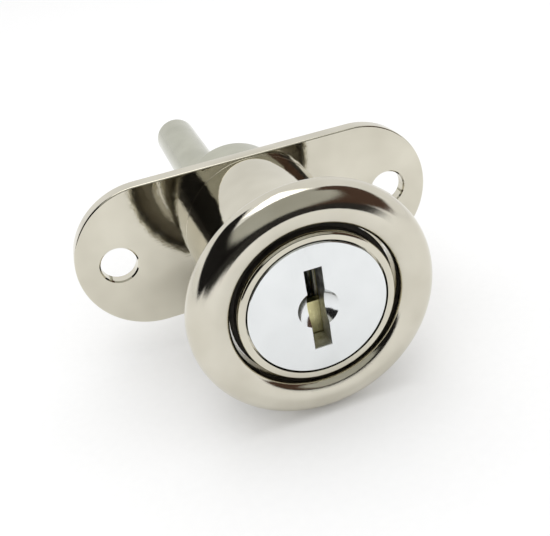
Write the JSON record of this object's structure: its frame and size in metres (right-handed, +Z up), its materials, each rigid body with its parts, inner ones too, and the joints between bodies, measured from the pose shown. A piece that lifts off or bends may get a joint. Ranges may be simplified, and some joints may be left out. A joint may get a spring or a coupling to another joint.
{
  "type": "furniture lock",
  "caption": "Round key lock for a drawer: barrel with an oval screw flange, loose domed rosette, sprung brass wafers in the plug and an eccentric rear drive pin.",
  "frame": {"origin": "on the lock axis, in the plane of the flange's front face, where the back of the panel rests", "axes": "+Y along the lock axis to the rear (the key face looks along -Y), +X along the flange to the right seen from the front, +Z up along the key slot"},
  "size_m": [0.0504, 0.0593, 0.03],
  "materials": {
    "cast_nickel": "nickel-plated zinc die casting, satin with polished areas",
    "brushed_nickel": "fine brushed nickel plate",
    "chrome": "chrome plate",
    "brass": "stamped brass",
    "steel": "nickel-plated steel",
    "spring_wire": "drawn spring wire"
  },
  "bodies": {
    "root": {"housing": "cast_nickel", "rosette": "brushed_nickel"},
    "plug": {"plug": "chrome", "driver": "cast_nickel", "drive_pin": "steel", "cross_pin": "steel", "retainer_spring": "spring_wire", "wafer_spring_1": "spring_wire", "wafer_spring_2": "spring_wire", "wafer_spring_3": "spring_wire", "wafer_spring_4": "spring_wire", "wafer_spring_5": "spring_wire", "wafer_spring_6": "spring_wire"},
    "retainer": {"retainer_wafer": "brass"},
    "wafer_1": {"wafer_1": "brass"},
    "wafer_2": {"wafer_2": "brass"},
    "wafer_3": {"wafer_3": "brass"},
    "wafer_4": {"wafer_4": "brass"},
    "wafer_5": {"wafer_5": "brass"},
    "wafer_6": {"wafer_6": "brass"}
  },
  "joints": [
    {"name": "plug_turn", "type": "hinge", "parent": "root", "child": "plug", "pos_m": [0, 0, 0], "axis": [0, 1, 0], "range_deg": [0, 180]},
    {"name": "wafer_1_lift", "type": "slide", "parent": "plug", "child": "wafer_1", "axis": [0, 0, 1], "range_m": [0, 0.0006], "stiffness_N_per_m": 60, "springref_m": 0.001, "deforming": ["wafer_spring_1"]},
    {"name": "wafer_2_lift", "type": "slide", "parent": "plug", "child": "wafer_2", "axis": [0, 0, 1], "range_m": [0, 0.0006], "stiffness_N_per_m": 60, "springref_m": 0.001, "deforming": ["wafer_spring_2"]},
    {"name": "wafer_3_lift", "type": "slide", "parent": "plug", "child": "wafer_3", "axis": [0, 0, 1], "range_m": [0, 0.0006], "stiffness_N_per_m": 60, "springref_m": 0.001, "deforming": ["wafer_spring_3"]},
    {"name": "wafer_4_lift", "type": "slide", "parent": "plug", "child": "wafer_4", "axis": [0, 0, 1], "range_m": [0, 0.0006], "stiffness_N_per_m": 60, "springref_m": 0.001, "deforming": ["wafer_spring_4"]},
    {"name": "wafer_5_lift", "type": "slide", "parent": "plug", "child": "wafer_5", "axis": [0, 0, 1], "range_m": [0, 0.0006], "stiffness_N_per_m": 60, "springref_m": 0.001, "deforming": ["wafer_spring_5"]},
    {"name": "wafer_6_lift", "type": "slide", "parent": "plug", "child": "wafer_6", "axis": [0, 0, 1], "range_m": [0, 0.0006], "stiffness_N_per_m": 60, "springref_m": 0.001, "deforming": ["wafer_spring_6"]},
    {"name": "retainer_press", "type": "slide", "parent": "plug", "child": "retainer", "axis": [0, 0, 1], "range_m": [-0.0008, 0], "stiffness_N_per_m": 80, "springref_m": 0.001, "deforming": ["retainer_spring"]}
  ]
}
